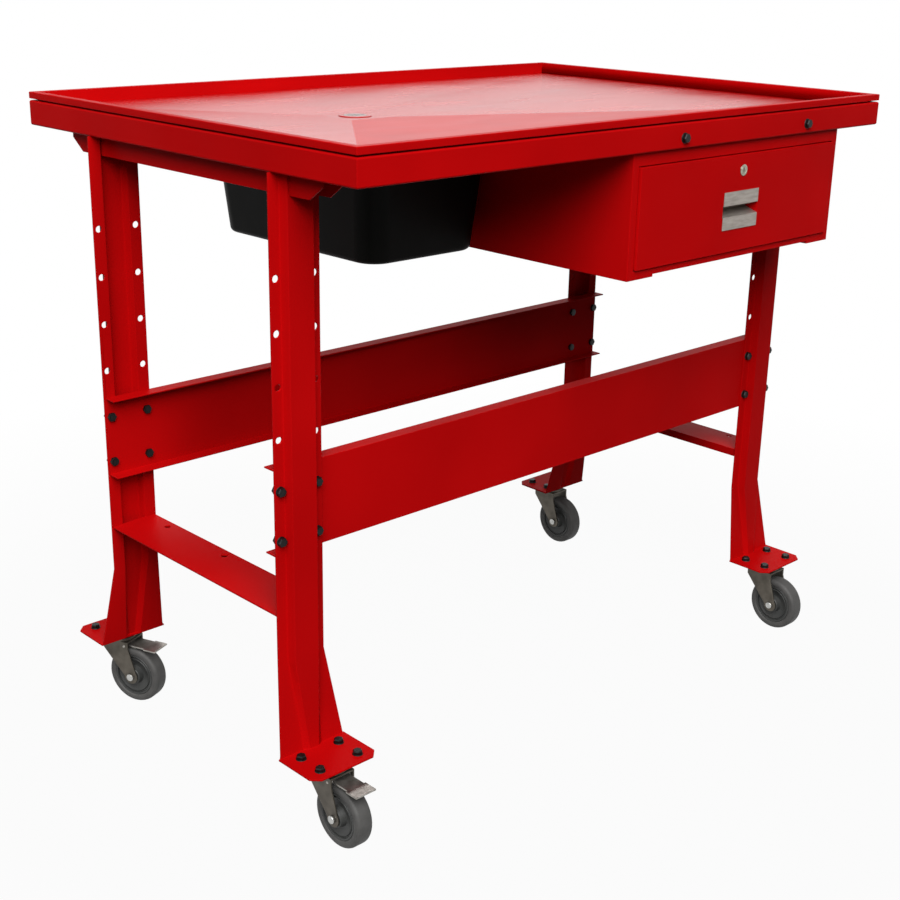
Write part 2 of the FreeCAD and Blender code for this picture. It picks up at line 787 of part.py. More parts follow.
def leg(label, x_side, y_side):
    body = new_body()
    flare_top = s.caster_height + s.flare_height
    upper = hat(s.leg_width, s.rib_base, s.rib_face, s.rib_depth, ZERO)
    lower = hat(s.flare_width, s.flare_rib_base, s.flare_rib_face, s.flare_rib_depth, s.flare_out)
    shaft = sketch_on(body, "XY_Plane", flare_top)
    add_outline(shaft, upper)
    pad(body, shaft, s.leg_height - s.flare_height)
    ankle = sketch_on(body, "XY_Plane", flare_top)
    add_outline(ankle, upper)
    sole = sketch_on(body, "XY_Plane", s.caster_height)
    add_outline(sole, lower)
    flare = body.newObject("PartDesign::AdditiveLoft", "flare")
    flare.Profile = ankle
    flare.Sections = [sole]
    flare.Ruled = True
    foot = sketch_on(body, "XY_Plane", s.caster_height)
    back = s.leg_gauge - s.flare_out
    half = s.foot_width / 2
    add_outline(foot, [
        (half, back), (half, s.foot_corner - s.foot_reach), (half - s.foot_corner, -s.foot_reach),
        (s.foot_corner - half, -s.foot_reach), (-half, s.foot_corner - s.foot_reach), (-half, back)])
    pad(body, foot, s.leg_gauge)
    notch = sketch_on(body, "XZ_Plane", ZERO)
    notch_half = rail_width / 2 + s.rail_clearance / 2
    add_outline(notch, [
        (-notch_half, notch_bottom), (notch_half, notch_bottom),
        (notch_half, skirt_bottom + s.overrun), (-notch_half, skirt_bottom + s.overrun)])
    pocket_through(body, notch, True)
    holes = sketch_on(body, "XZ_Plane", s.rib_depth)
    for z in hole_rows:
        for column in PLUS_MINUS:
            add_circle(holes, column * s.hole_column_spacing / 2, z, s.hole_diameter)
    pocket_through(body, holes, False)
    foot_holes = sketch_on(body, "XY_Plane", ZERO)
    for x, y in foot_bolt_places():
        add_circle(foot_holes, x, y - s.foot_bolt_reach, s.foot_hole_diameter)
    pocket_through(body, foot_holes, True)
    facing = 0 if y_side < 0 else 180
    turn = FreeCAD.Rotation(FreeCAD.Vector(0, 0, 1), facing)
    body.Placement = FreeCAD.Placement(FreeCAD.Vector(), turn)
    move(body, x_side * leg_x, y_side * leg_plane, ZERO)
    keep(body, label)


def foot_bolt_places():
    """The four bolts of a foot, from the caster's swivel axis."""
    return [(a * s.foot_bolt_spacing_x / 2, b * s.foot_bolt_spacing_y / 2)
            for a in PLUS_MINUS for b in PLUS_MINUS]


CORNERS = {
    "front_left": (-1, -1),
    "front_right": (1, -1),
    "rear_left": (-1, 1),
    "rear_right": (1, 1),
}


def legs():
    for name, (x_side, y_side) in CORNERS.items():
        leg(f"leg_{name}", x_side, y_side)


# Rails from the front legs to the rear legs

def top_rail(label, x_side, bolts):
    x = x_side * leg_x
    half = s.top_rail_length / 2
    body = new_body()
    side_view = sketch_on(body, "YZ_Plane", -rail_width / 2)
    add_outline(side_view, [
        (-half, skirt_bottom), (half, skirt_bottom),
        (half, notch_bottom + s.top_rail_cut_height), (half - s.top_rail_cut_length, notch_bottom),
        (s.top_rail_cut_length - half, notch_bottom), (-half, notch_bottom + s.top_rail_cut_height)])
    pad(body, side_view, rail_width)
    move(body, x, ZERO, ZERO)
    tools = [box(about(x, rail_width - 2 * s.rail_gauge), (-half - s.overrun, half + s.overrun),
                 (notch_bottom - s.overrun, skirt_bottom - s.rail_gauge))]
    for end in PLUS_MINUS:
        at = (x_side * top_rail_bolt_x, end * top_rail_bolt_y)
        tools.append(bolt_hole("z", (skirt_bottom - s.rail_gauge, skirt_bottom), at, SMALL_BOLT))
        bolts += bolt("z", (skirt_bottom - s.rail_gauge, flange_top), at, -1, SMALL_BOLT)
    keep(cut(body, *tools), label)


def foot_rail(label, x_side):
    """A plate creased along its middle, with a flange on its inner side; its ends butt the leg flanges.

    Both end frames are drilled alike, so the holes lie to the right of the middle on the left and right rails.
    """
    gauge = s.rail_gauge
    half = s.foot_rail_width / 2
    length = 2 * (leg_plane - s.leg_gauge)
    top = s.caster_height + s.foot_rail_rise
    outer_top = top - s.foot_rail_fall
    flange_end = top - s.foot_rail_flange
    profile = [
        (-half, outer_top), (ZERO, top), (half, top), (half, flange_end), (half - gauge, flange_end),
        (half - gauge, top - gauge), (ZERO, top - gauge), (-half, outer_top - gauge)]
    body = new_body()
    section = sketch_on(body, "XZ_Plane", -length / 2)
    add_outline(section, [(-x_side * inward, z) for inward, z in profile])
    pad(body, section, length)
    move(body, x_side * leg_x, ZERO, ZERO)
    hole_x = x_side * leg_x + s.foot_rail_hole_offset
    hole_y = length / 2 - s.foot_rail_hole_end
    holes = [rod(s.hole_diameter / 2, "z", (top - gauge - s.overrun, top + s.overrun), (hole_x, y))
             for y in (-hole_y, ZERO, hole_y)]
    keep(cut(body, *holes), label)


def rails():
    bolts = []
    for side, name in zip(PLUS_MINUS, ("right", "left")):
        top_rail(f"leg_top_rail_{name}", side, bolts)
        foot_rail(f"foot_rail_{name}", side)
    keep(group(bolts), "top_rail_bolts")


# Stringers along the length, bolted to the inner faces of the leg flanges

def stringers():
    gauge = s.stringer_gauge
    rows = hole_rows[-2:]
    middle = (rows[0] + rows[1]) / 2 + s.stringer_rise
    z_ends = about(middle, s.stringer_height)
    half = leg_x + s.leg_width / 2 - s.stringer_end_inset
    face = leg_plane - s.leg_gauge
    columns = [x_side * leg_x + column * s.hole_column_spacing / 2
               for x_side in PLUS_MINUS for column in PLUS_MINUS]
    bolts = []
    for side, name in zip(PLUS_MINUS, ("rear", "front")):
        channel = box((-half, half), (side * face, side * (face - s.stringer_flange)), z_ends)
        trough = box((-half - s.overrun, half + s.overrun),
                     (side * (face - gauge), side * (face - s.stringer_flange - s.overrun)),
                     (z_ends[0] + gauge, z_ends[1] - gauge))
        holes = []
        for x in columns:
            for z in rows:
                holes.append(bolt_hole("y", (side * face, side * (face - gauge)), (x, z), LARGE_BOLT))
                bolts += bolt("y", (side * leg_plane, side * (face - gauge)), (x, z), side, LARGE_BOLT)
        keep(cut(channel, trough, *holes), f"stringer_{name}")
    keep(group(bolts), "stringer_bolts")


# Casters: the plate carries the race and the kingpin, the fork turns below it

plate_low = s.caster_height - s.caster_plate_gauge
race_low = plate_low - s.race_height
crown_top = race_low - s.swivel_gap
bridge_top = crown_top - s.crown_height
bridge_low = bridge_top - s.fork_gauge
wheel_z = s.wheel_diameter / 2
fork_gap = s.hub_boss_width + 2 * s.hub_play
fork_width = fork_gap + 2 * s.fork_gauge
swivel_y = leg_plane + s.foot_bolt_reach
pedal_z = bridge_low - s.pedal_pin_drop


def caster_plate(x, y):
    at = (x, y)
    kingpin_end = bridge_low - s.swivel_gap
    plate = box(about(x, s.caster_plate_length), about(y, s.caster_plate_width), (plate_low, s.caster_height))
    race = rod(s.race_diameter / 2, "z", (race_low, s.caster_height), at)
    kingpin = rod(s.kingpin_diameter / 2, "z", (kingpin_end - s.kingpin_head_height, plate_low), at)
    head = rod(s.kingpin_head_diameter / 2, "z", (kingpin_end - s.kingpin_head_height, kingpin_end), at)
    thread = s.small_bolt_diameter / 2 + s.thread_fit
    holes = [rod(thread, "z", (plate_low - s.overrun, s.caster_height + s.overrun), (x + dx, y + dy))
             for dx, dy in foot_bolt_places()]
    return cut(joined(plate, race, kingpin, head), *holes)


def at_corner(item, x, y, angle, label):
    """Gives a caster piece, built on the Z axis, its swivel angle and its corner."""
    holder = doc.addObject("Part::Compound", "caster_piece")
    holder.Links = [item]
    turn = FreeCAD.Rotation(FreeCAD.Vector(0, 0, 1), angle)
    holder.Placement = FreeCAD.Placement(FreeCAD.Vector(), turn)
    move(holder, x, y, ZERO)
    keep(holder, label)


def fork(pedal):
    """A folded fork whose eyes trail behind the swivel axis, toward -Y."""
    eye = s.fork_eye
    shoulder = bridge_top - s.fork_shoulder
    body = new_body()
    side_view = sketch_on(body, "YZ_Plane", -fork_width / 2)
    add_outline(side_view, [
        (s.fork_back, bridge_top), (s.fork_back, shoulder), (eye - s.caster_trail, wheel_z),
        (-eye - s.caster_trail, wheel_z), (-s.fork_front, shoulder), (-s.fork_front, bridge_top)])
    pad(body, side_view, fork_width)
    eyes = rod(eye, "x", about(ZERO, fork_width), (-s.caster_trail, wheel_z))
    crown = rod(s.crown_diameter / 2, "z", (bridge_top, crown_top), (ZERO, ZERO))
    tools = [
        box(about(ZERO, fork_gap), (-s.wheel_diameter, s.wheel_diameter), (-s.overrun, bridge_low)),
        rod(s.kingpin_diameter / 2 + s.kingpin_fit, "z", (bridge_low - s.overrun, crown_top + s.overrun),
            (ZERO, ZERO)),
        rod(s.axle_diameter / 2, "x", about(ZERO, fork_width + 2 * s.overrun), (-s.caster_trail, wheel_z)),
    ]
    if pedal:
        tools.append(rod(s.pedal_pin_diameter / 2 + s.pedal_fit, "x", about(ZERO, fork_width + 2 * s.overrun),
                         (-s.pedal_pin_forward, pedal_z)))
    return cut(joined(body, eyes, crown), *tools)


def axle():
    at = (-s.caster_trail, wheel_z)
    half = fork_width / 2
    heads = [rod(s.axle_head_diameter / 2, "x", (end * half, end * (half + s.axle_head_height)), at)
             for end in PLUS_MINUS]
    return joined(rod(s.axle_diameter / 2, "x", about(ZERO, fork_width), at), *heads)


def wheel_hub():
    at = (-s.caster_trail, wheel_z)
    radius = s.wheel_diameter / 2 - s.tyre_depth
    disc = rod(radius, "x", about(ZERO, s.wheel_width), at)
    dishes = [cut(
        rod(radius - s.hub_rim, "x", (end * (s.wheel_width / 2 - s.hub_dish),
                                      end * (s.wheel_width / 2 + s.overrun)), at),
        rod(s.hub_boss_diameter / 2, "x", about(ZERO, s.wheel_width + 4 * s.overrun), at)) for end in PLUS_MINUS]
    boss = rod(s.hub_boss_diameter / 2, "x", about(ZERO, s.hub_boss_width), at)
    bore = rod(s.axle_diameter / 2 + s.axle_fit, "x", about(ZERO, s.hub_boss_width + 2 * s.overrun), at)
    return cut(joined(disc, boss), bore, *dishes)


def wheel_tyre():
    at = (-s.caster_trail, wheel_z)
    outer = rod(s.wheel_diameter / 2, "x", about(ZERO, s.wheel_width), at)
    is_rim = lambda edge: abs(abs(edge.CenterOfMass.x) - s.wheel_width.number / 2) < s.swivel_gap.number
    outer = rounded(outer, s.tread_round, is_rim)
    bore = rod(s.wheel_diameter / 2 - s.tyre_depth, "x", about(ZERO, s.wheel_width + 2 * s.overrun), at)
    return cut(outer, bore)


def brake_pedal():
    z_ends = about(pedal_z, s.pedal_gauge)
    plate_half = fork_gap / 2 - s.pedal_side_play
    heel = s.pedal_heel - s.pedal_pin_forward
    plate = box(about(ZERO, s.pedal_width), (heel, -s.pedal_reach), z_ends)
    pad_box = box(about(ZERO, s.pedal_pad_width), (s.pedal_pad - s.pedal_reach, -s.pedal_reach), z_ends)
    pin_rod = rod(s.pedal_pin_diameter / 2, "x", about(ZERO, fork_width), (-s.pedal_pin_forward, pedal_z))
    collar = rod(s.pedal_pin_diameter / 2 + s.fork_gauge / 2, "x", (-plate_half, plate_half),
                 (-s.pedal_pin_forward, pedal_z))
    shoe = box(about(ZERO, s.wheel_width), about(-s.caster_trail, s.pedal_shoe_length),
               (z_ends[0], z_ends[0] - s.pedal_shoe_height))
    return joined(plate, pad_box, pin_rod, collar, shoe)


def casters():
    plates = []
    screws = []
    for name, (x_side, y_side) in CORNERS.items():
        x = x_side * leg_x
        y = y_side * swivel_y
        angle = REAR_LEFT_SWIVEL if name == "rear_left" else 0
        braked = x_side < 0
        plates.append(caster_plate(x, y))
        for dx, dy in foot_bolt_places():
            screws.append(screw("z", foot_top, plate_low, (x + dx, y + dy), 1, SMALL_BOLT))
        at_corner(fork(braked), x, y, angle, f"caster_fork_{name}")
        at_corner(axle(), x, y, angle, f"caster_axle_{name}")
        at_corner(wheel_hub(), x, y, angle, f"wheel_hub_{name}")
        at_corner(wheel_tyre(), x, y, angle, f"wheel_tyre_{name}")
        if braked:
            at_corner(brake_pedal(), x, y, angle, f"brake_pedal_{name}")
    keep(group(plates), "caster_plates")
    keep(group(screws), "caster_bolts")


# Drawer housing: an open box of sheet that hangs below two bearers

housing_x = about(drawer_x, s.housing_width)
housing_low = skirt_bottom - s.housing_height
opening_x = about(drawer_x, s.housing_width - 2 * s.housing_stile)
opening_z = (housing_low + s.housing_sill, skirt_bottom - s.housing_head)
front_face = housing_front - s.drawer_proud
front_back = front_face + s.drawer_front_depth
front_x = (opening_x[0] + s.drawer_gap, opening_x[1] - s.drawer_gap)
front_z = (opening_z[0] + s.drawer_gap, opening_z[1] - s.drawer_gap)


def drawer_housing():
    gauge = s.housing_gauge
    outer = box(housing_x, (housing_front, housing_rear), (housing_low, skirt_bottom))
    inner = box((housing_x[0] + gauge, housing_x[1] - gauge), (housing_front + gauge, housing_rear - gauge),
                (housing_low + gauge, skirt_bottom - gauge))
    mouth = box(opening_x, (housing_front - s.overrun, housing_front + s.overrun), opening_z)
    roof_gap = box((housing_x[0] + s.housing_flange, housing_x[1] - s.housing_flange),
                   (housing_front + s.housing_strap, housing_rear - s.housing_strap),
                   (skirt_bottom - s.overrun, skirt_bottom + s.overrun))
    floor_gap = box((housing_x[0] + s.housing_flange, housing_x[1] - s.housing_flange),
                    (housing_front + s.drawer_front_depth, housing_rear - s.housing_flange),
                    (housing_low - s.overrun, housing_low + s.overrun))
    strike = box(opening_x, (housing_front, front_back), (opening_z[1], opening_z[1] + gauge))
    hems = [box((edge, edge + side * s.housing_hem_width), (housing_front, housing_rear),
                (housing_low - s.housing_hem, housing_low)) for side, edge in zip(PLUS_MINUS, housing_x)]
    tools = [inner, mouth, roof_gap, floor_gap]
    bolts = []
    for x in drawer_bearer_x:
        for y in housing_bolt_y:
            tools.append(bolt_hole("z", (skirt_bottom - gauge, skirt_bottom), (x, y), SMALL_BOLT))
            bolts += bolt("z", (skirt_bottom - gauge, flange_top), (x, y), -1, SMALL_BOLT)
    keep(joined(cut(outer, *tools), strike, *hems), "drawer_housing")
    keep(group(bolts), "housing_bolts")


# Drawer: a folded box behind a folded front, on two slides

slide_outer_half = s.housing_width / 2 - s.housing_stile - s.drawer_gap
box_half = slide_outer_half - s.slide_thickness
box_low = opening_z[0] + s.drawer_box_lift
box_rear = front_back + s.drawer_box_length
slide_low = box_low + s.slide_lift
slide_z = (slide_low, slide_low + s.slide_height)
pull_z = front_z[1] - s.pull_drop
trough_z = pull_z + s.pull_height / 2 - s.pull_upper - s.pull_trough / 2
trough_back = front_face + s.pull_trough_depth
slot_height = s.pull_trough + 2 * s.pull_gauge
lock_z = front_z[1] - s.lock_drop


def drawer_box():
    gauge = s.drawer_gauge
    outer = box(about(drawer_x, 2 * box_half), (front_back, box_rear),
                (box_low, box_low + s.drawer_box_height))
    inner = box(about(drawer_x, 2 * box_half - 2 * gauge), (front_back + gauge, box_rear - gauge),
                (box_low + gauge, box_low + s.drawer_box_height + s.overrun))
    window_width = s.pull_width + 2 * gauge + 2 * s.pull_window_gap
    window = box(about(drawer_x, window_width), about(front_back, 2 * s.overrun),
                 about(trough_z, slot_height + 2 * s.pull_window_gap))
    keep(cut(outer, inner, window), "drawer_box")


def drawer_front():
    """A folded front with a slot for the pull's trough and a cheek at each end of the slot."""
    gauge = s.drawer_gauge
    outer = box(front_x, (front_face, front_back), front_z)
    inner = box((front_x[0] + gauge, front_x[1] - gauge), (front_face + gauge, front_back + s.overrun),
                (front_z[0] + gauge, front_z[1] - gauge))
    slot = box(about(drawer_x, s.pull_width), about(front_face, 2 * s.overrun), about(trough_z, slot_height))
    lock_hole = rod(s.lock_body_diameter / 2, "y", about(front_face, 2 * s.overrun), (drawer_x, lock_z))
    cheeks = []
    for side in PLUS_MINUS:
        face = drawer_x + side * s.pull_width / 2
        cheeks.append(box((face, face + side * gauge), (front_face, trough_back + s.pull_gauge),
                          about(trough_z, slot_height)))
    keep(joined(cut(outer, inner, slot, lock_hole), *cheeks), "drawer_front")


def drawer_pull():
    """A strip folded into a plate above, a V-shaped finger trough and a plate below."""
    gauge = s.pull_gauge
    face = front_face - gauge
    bottom, top = about(pull_z, s.pull_height)
    low, high = about(trough_z, s.pull_trough)
    body = new_body()
    section = sketch_on(body, "YZ_Plane", -s.pull_width / 2)
    add_outline(section, [
        (face, bottom), (face, low), (trough_back, trough_z), (face, high), (face, top),
        (front_face, top), (front_face, high + gauge), (trough_back + gauge, trough_z + gauge / 2),
        (trough_back + gauge, trough_z - gauge / 2), (front_face, low - gauge), (front_face, bottom)])
    pad(body, section, s.pull_width)
    move(body, drawer_x, ZERO, ZERO)
    keep(body, "drawer_pull")


def lock():
    at = (drawer_x, lock_z)
    flange_face = front_face - s.lock_flange_thickness
    body_end = front_face + s.lock_body_length
    bore = s.lock_plug_diameter / 2 + s.lock_fit
    barrel = cut(
        joined(
            rod(s.lock_flange_diameter / 2, "y", (flange_face, front_face), at),
            rod(s.lock_body_diameter / 2, "y", (flange_face, body_end), at)),
        rod(bore, "y", (flange_face - s.overrun, body_end + s.overrun), at))
    keep(barrel, "lock_barrel")
    cam_y = (body_end, body_end + s.cam_thickness)
    cam_x = (drawer_x - s.cam_width / 2, drawer_x + s.cam_length)
    plug = cut(
        joined(
            rod(s.lock_plug_diameter / 2, "y", (flange_face, body_end), at),
            box(cam_x, cam_y, about(lock_z, s.cam_width)),
            rod(s.lock_plug_diameter / 2, "y", cam_y, at)),
        box(about(drawer_x, s.key_slot_width),
            (flange_face - s.overrun, flange_face + s.key_slot_depth), about(lock_z, s.key_slot_height)))
    keep(plug, "lock_plug")


def slides():
    gauge = s.slide_gauge
    play = s.slide_play
    side_wall = s.housing_width / 2 - s.housing_gauge
    y_fixed = (front_back + s.slide_end_gap, box_rear)
    y_moving = (front_back, box_rear - s.slide_end_gap)
    for side, name in zip(PLUS_MINUS, ("right", "left")):
        at = lambda offset: drawer_x + side * offset
        lip = box_half + gauge + play
        shell = box((at(slide_outer_half), at(lip)), y_fixed, slide_z)
        hollow = box((at(slide_outer_half - gauge), at(lip - s.overrun)),
                     (y_fixed[0] - s.overrun, y_fixed[1] + s.overrun),
                     (slide_z[0] + gauge, slide_z[1] - gauge))
        feet = [
            box((at(slide_outer_half), at(side_wall)), ends, slide_z)
            for ends in ((y_fixed[0], y_fixed[0] + s.slide_foot_length),
                         (y_fixed[1] - s.slide_foot_length, y_fixed[1]))]
        keep(joined(cut(shell, hollow), *feet), f"slide_channel_{name}")
        z_moving = (slide_z[0] + gauge + play, slide_z[1] - gauge - play)
        bar = box((at(box_half), at(slide_outer_half - gauge - play)), y_moving, z_moving)
        groove = box((at(box_half + gauge), at(slide_outer_half + s.overrun)),
                     (y_moving[0] - s.overrun, y_moving[1] + s.overrun),
                     (z_moving[0] + gauge, z_moving[1] - gauge))
        keep(cut(bar, groove), f"slide_runner_{name}")


top_tray()
aprons()
bearers()
drain()
drain_pan()
pan_runners()
legs()
rails()
stringers()
casters()
drawer_housing()
drawer_box()
drawer_front()
drawer_pull()
lock()
slides()
doc.recompute()

# Check every object, then write each sub-part to its file

for item in doc.Objects:
    if "Invalid" in item.State or "Error" in item.State:
        raise RuntimeError(f"{item.Label} ({item.Name}) did not compute: {item.State}")
os.makedirs("parts", exist_ok=True)
for item in nodes:
    if item.Shape.isNull() or not item.Shape.isValid() or not item.Shape.Solids:
        raise RuntimeError(f"{item.Label} has no valid solid")
    item.Shape.exportStep(f"parts/{item.Label}.step")
    print(item.Label, len(item.Shape.Solids), "solids", round(item.Shape.Volume), "mm3")
print(len(nodes), "sub-parts written")
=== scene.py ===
# %% [markdown]
# This lesson dresses a rolling service bench: a red tray top on four folded legs, with a drawer, a black
# drain pan and four casters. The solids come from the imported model, which is the fixed frame here. Each piece
# below is a finer mesh that takes the place of its solid and gets a finish.

# %% Load the frame
import json
import math
import bmesh
import bpy
from mathutils import Matrix, Vector


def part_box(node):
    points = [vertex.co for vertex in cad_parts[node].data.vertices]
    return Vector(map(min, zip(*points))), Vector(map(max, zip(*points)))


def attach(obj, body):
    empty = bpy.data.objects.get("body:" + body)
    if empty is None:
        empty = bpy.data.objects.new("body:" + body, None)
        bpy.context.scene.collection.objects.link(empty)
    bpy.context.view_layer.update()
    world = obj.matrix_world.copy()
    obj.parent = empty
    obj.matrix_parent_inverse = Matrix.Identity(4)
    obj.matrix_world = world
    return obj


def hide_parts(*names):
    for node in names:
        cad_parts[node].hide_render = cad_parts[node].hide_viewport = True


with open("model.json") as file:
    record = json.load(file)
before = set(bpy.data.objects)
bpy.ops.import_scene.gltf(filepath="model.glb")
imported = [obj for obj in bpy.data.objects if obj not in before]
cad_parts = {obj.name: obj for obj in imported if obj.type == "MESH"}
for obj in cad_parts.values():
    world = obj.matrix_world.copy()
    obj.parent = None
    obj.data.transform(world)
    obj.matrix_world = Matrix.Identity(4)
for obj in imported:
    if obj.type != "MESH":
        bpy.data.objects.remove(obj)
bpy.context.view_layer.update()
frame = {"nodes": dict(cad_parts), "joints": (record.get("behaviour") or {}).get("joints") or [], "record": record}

nodes = frame["nodes"]
record = frame["record"]
body_of = {node: body for body, members in record["behaviour"]["bodies"].items() for node in members}
slot_of = {part["node"]: part["material_slot"] for part in record["subparts"]}
joints = {joint["name"]: joint for joint in frame["joints"]}

# %% [markdown]
# The camera stands where the photographer stood: to the front left of the bench and a little above its top.
# Its place and lens were found by matching the bench's corners to the picture. The picture leans by about
# a degree, so the camera is rolled by the same amount.

# %% Camera
camera_place = Vector((-1.7425, -1.7646, 1.2769))
camera_yaw = math.radians(43.96)
camera_pitch = math.radians(19.25)
camera_roll = math.radians(1.15)
camera_lens_mm = 57.96
camera_sensor_mm = 36

forward = Vector((
    math.sin(camera_yaw) * math.cos(camera_pitch),
    math.cos(camera_yaw) * math.cos(camera_pitch),
    -math.sin(camera_pitch)))
right = Vector((math.cos(camera_yaw), -math.sin(camera_yaw), 0))
up = right.cross(forward)
camera_turn = Matrix((right, up, -forward)).transposed() @ Matrix.Rotation(camera_roll, 3, "Z")

camera_data = bpy.data.cameras.new("photo_camera")
camera_data.lens = camera_lens_mm
camera_data.sensor_width = camera_sensor_mm
camera = bpy.data.objects.new("photo_camera", camera_data)
camera.matrix_world = Matrix.Translation(camera_place) @ camera_turn.to_4x4()
bpy.context.scene.collection.objects.link(camera)
bpy.context.scene.camera = camera
print("camera height above the floor:", round(camera_place.z, 3))

# %% [markdown]
# A product picture like this one is lit by large soft sources against white. The world is white to the
# camera and in reflections, and dim as a light, so that the red keeps its depth.

# %% White background
scene = bpy.context.scene
scene.view_settings.view_transform = "Standard"
world_light = 0.04


def seen_directly(tree):
    """One for rays from the camera, mirrors and clear pieces, and zero for rays that only light a surface."""
    path = tree.nodes.new("ShaderNodeLightPath")
    first = tree.nodes.new("ShaderNodeMath")
    first.operation = "MAXIMUM"
    second = tree.nodes.new("ShaderNodeMath")
    second.operation = "MAXIMUM"
    tree.links.new(path.outputs["Is Camera Ray"], first.inputs[0])
    tree.links.new(path.outputs["Is Glossy Ray"], first.inputs[1])
    tree.links.new(first.outputs[0], second.inputs[0])
    tree.links.new(path.outputs["Is Transmission Ray"], second.inputs[1])
    return second.outputs[0]


world = bpy.data.worlds.new("white_studio")
scene.world = world
world.use_nodes = True
world_tree = world.node_tree
background = world_tree.nodes["Background"]
background.inputs["Color"].default_value = (1, 1, 1, 1)
level = world_tree.nodes.new("ShaderNodeMapRange")
level.inputs["To Min"].default_value = world_light
level.inputs["To Max"].default_value = 1
world_tree.links.new(seen_directly(world_tree), level.inputs["Value"])
world_tree.links.new(level.outputs["Result"], background.inputs["Strength"])
print("world light:", world_light)

# %% [markdown]
# One broad lamp hangs above and behind the camera, which leaves the undersides and the rear pieces in shade
# as in the picture. A weaker one far behind the bench keeps its back from going black when it is looked at
# from there.

# %% Lamps
bench_middle = (0, 0, 0.7)
key_place = (-3.4, -3.8, 5.4)
key_size = 5.5
key_watts = 800
fill_place = (3.4, 3.4, 4.6)
fill_size = 3
fill_watts = 100


def soft_lamp(name, place, aim, size, watts):
    """A square area lamp turned toward a point."""
    data = bpy.data.lights.new(name, "AREA")
    data.shape = "SQUARE"
    data.size = size
    data.energy = watts
    lamp = bpy.data.objects.new(name, data)
    lamp.location = place
    lamp.rotation_euler = (Vector(aim) - Vector(place)).to_track_quat("-Z", "Y").to_euler()
    scene.collection.objects.link(lamp)


soft_lamp("key_lamp", key_place, bench_middle, key_size, key_watts)
soft_lamp("rear_fill", fill_place, bench_middle, fill_size, fill_watts)
print("lamps:", key_watts, "and", fill_watts, "watts")

# %% [markdown]
# The floor is a wide pale sheet. For the camera and in reflections it is white paper, and near the bench a
# small share of its lit surface shows through, so that the soft shadow under the casters stays. Further out
# that share fades to nothing, and the floor meets the white background without a line.

# %% Floor sheet
floor_half = 150
floor_mesh = bpy.data.meshes.new("floor")
floor_mesh.from_pydata(
    [(-floor_half, -floor_half, 0), (floor_half, -floor_half, 0), (floor_half, floor_half, 0),
     (-floor_half, floor_half, 0)], [], [(0, 1, 2, 3)])
floor = bpy.data.objects.new("floor", floor_mesh)
scene.collection.objects.link(floor)
print("floor half width:", floor_half)

# %% Floor finish
floor_grey = (0.1, 0.1, 0.1, 1)
floor_roughness = 0.9
paper_near = 0.96
fade_start = 0.9
fade_end = 1.9

floor_finish = bpy.data.materials.new("floor_paper")
floor_finish.use_nodes = True
floor_tree = floor_finish.node_tree
floor_shader = floor_tree.nodes["Principled BSDF"]
floor_shader.inputs["Base Color"].default_value = floor_grey
floor_shader.inputs["Roughness"].default_value = floor_roughness
floor_shader.inputs["Specular IOR Level"].default_value = 0
floor_place = floor_tree.nodes.new("ShaderNodeTexCoord")
floor_reach = floor_tree.nodes.new("ShaderNodeVectorMath")
floor_reach.operation = "LENGTH"
floor_tree.links.new(floor_place.outputs["Object"], floor_reach.inputs[0])
paper_share = floor_tree.nodes.new("ShaderNodeMapRange")
paper_share.inputs["From Min"].default_value = fade_start
paper_share.inputs["From Max"].default_value = fade_end
paper_share.inputs["To Min"].default_value = paper_near
floor_tree.links.new(floor_reach.outputs["Value"], paper_share.inputs["Value"])
seen_share = floor_tree.nodes.new("ShaderNodeMath")
seen_share.operation = "MULTIPLY"
floor_tree.links.new(seen_directly(floor_tree), seen_share.inputs[0])
floor_tree.links.new(paper_share.outputs["Result"], seen_share.inputs[1])
paper_white = floor_tree.nodes.new("ShaderNodeEmission")
floor_mix = floor_tree.nodes.new("ShaderNodeMixShader")
floor_tree.links.new(seen_share.outputs["Value"], floor_mix.inputs["Fac"])
floor_tree.links.new(floor_shader.outputs["BSDF"], floor_mix.inputs[1])
floor_tree.links.new(paper_white.outputs["Emission"], floor_mix.inputs[2])
floor_output = floor_tree.nodes["Material Output"]
floor_tree.links.new(floor_mix.outputs["Shader"], floor_output.inputs["Surface"])
floor_mesh.materials.append(floor_finish)
print("paper near the bench:", paper_near, "fading from", fade_start, "to", fade_end, "metres")

# %% [markdown]
# Every finish below is made of the same few parts: a tone that drifts over the surface, a roughness that
# drifts with a pattern of its own, and on most a fine bump. A few helpers keep this short. The patterns read
# Object coordinates, in metres, so a scale of 1000 gives a grain of about a millimetre.

# %% Helpers for patterns
drift_start = 0.3
drift_end = 0.7
even = (1, 1, 1)


def shader_of(material):
    return material.node_tree.nodes["Principled BSDF"]


def noise_on(material, scale, detail, stretch=even):
    """A noise pattern in the object's own metres, stretched along an axis where the grain runs."""
    tree = material.node_tree
    place = tree.nodes.new("ShaderNodeTexCoord")
    mapping = tree.nodes.new("ShaderNodeMapping")
    mapping.inputs["Scale"].default_value = stretch
    noise = tree.nodes.new("ShaderNodeTexNoise")
    noise.inputs["Scale"].default_value = scale
    noise.inputs["Detail"].default_value = detail
    tree.links.new(place.outputs["Object"], mapping.inputs["Vector"])
    tree.links.new(mapping.outputs["Vector"], noise.inputs["Vector"])
    return noise.outputs["Fac"]


def drift_colour(material, pattern, dark, light):
    """Lets the colour drift between two tones."""
    tree = material.node_tree
    ramp = tree.nodes.new("ShaderNodeValToRGB")
    ramp.color_ramp.elements[0].position = drift_start
    ramp.color_ramp.elements[1].position = drift_end
    ramp.color_ramp.elements[0].color = (*dark, 1)
    ramp.color_ramp.elements[1].color = (*light, 1)
    tree.links.new(pattern, ramp.inputs["Fac"])
    tree.links.new(ramp.outputs["Color"], shader_of(material).inputs["Base Color"])


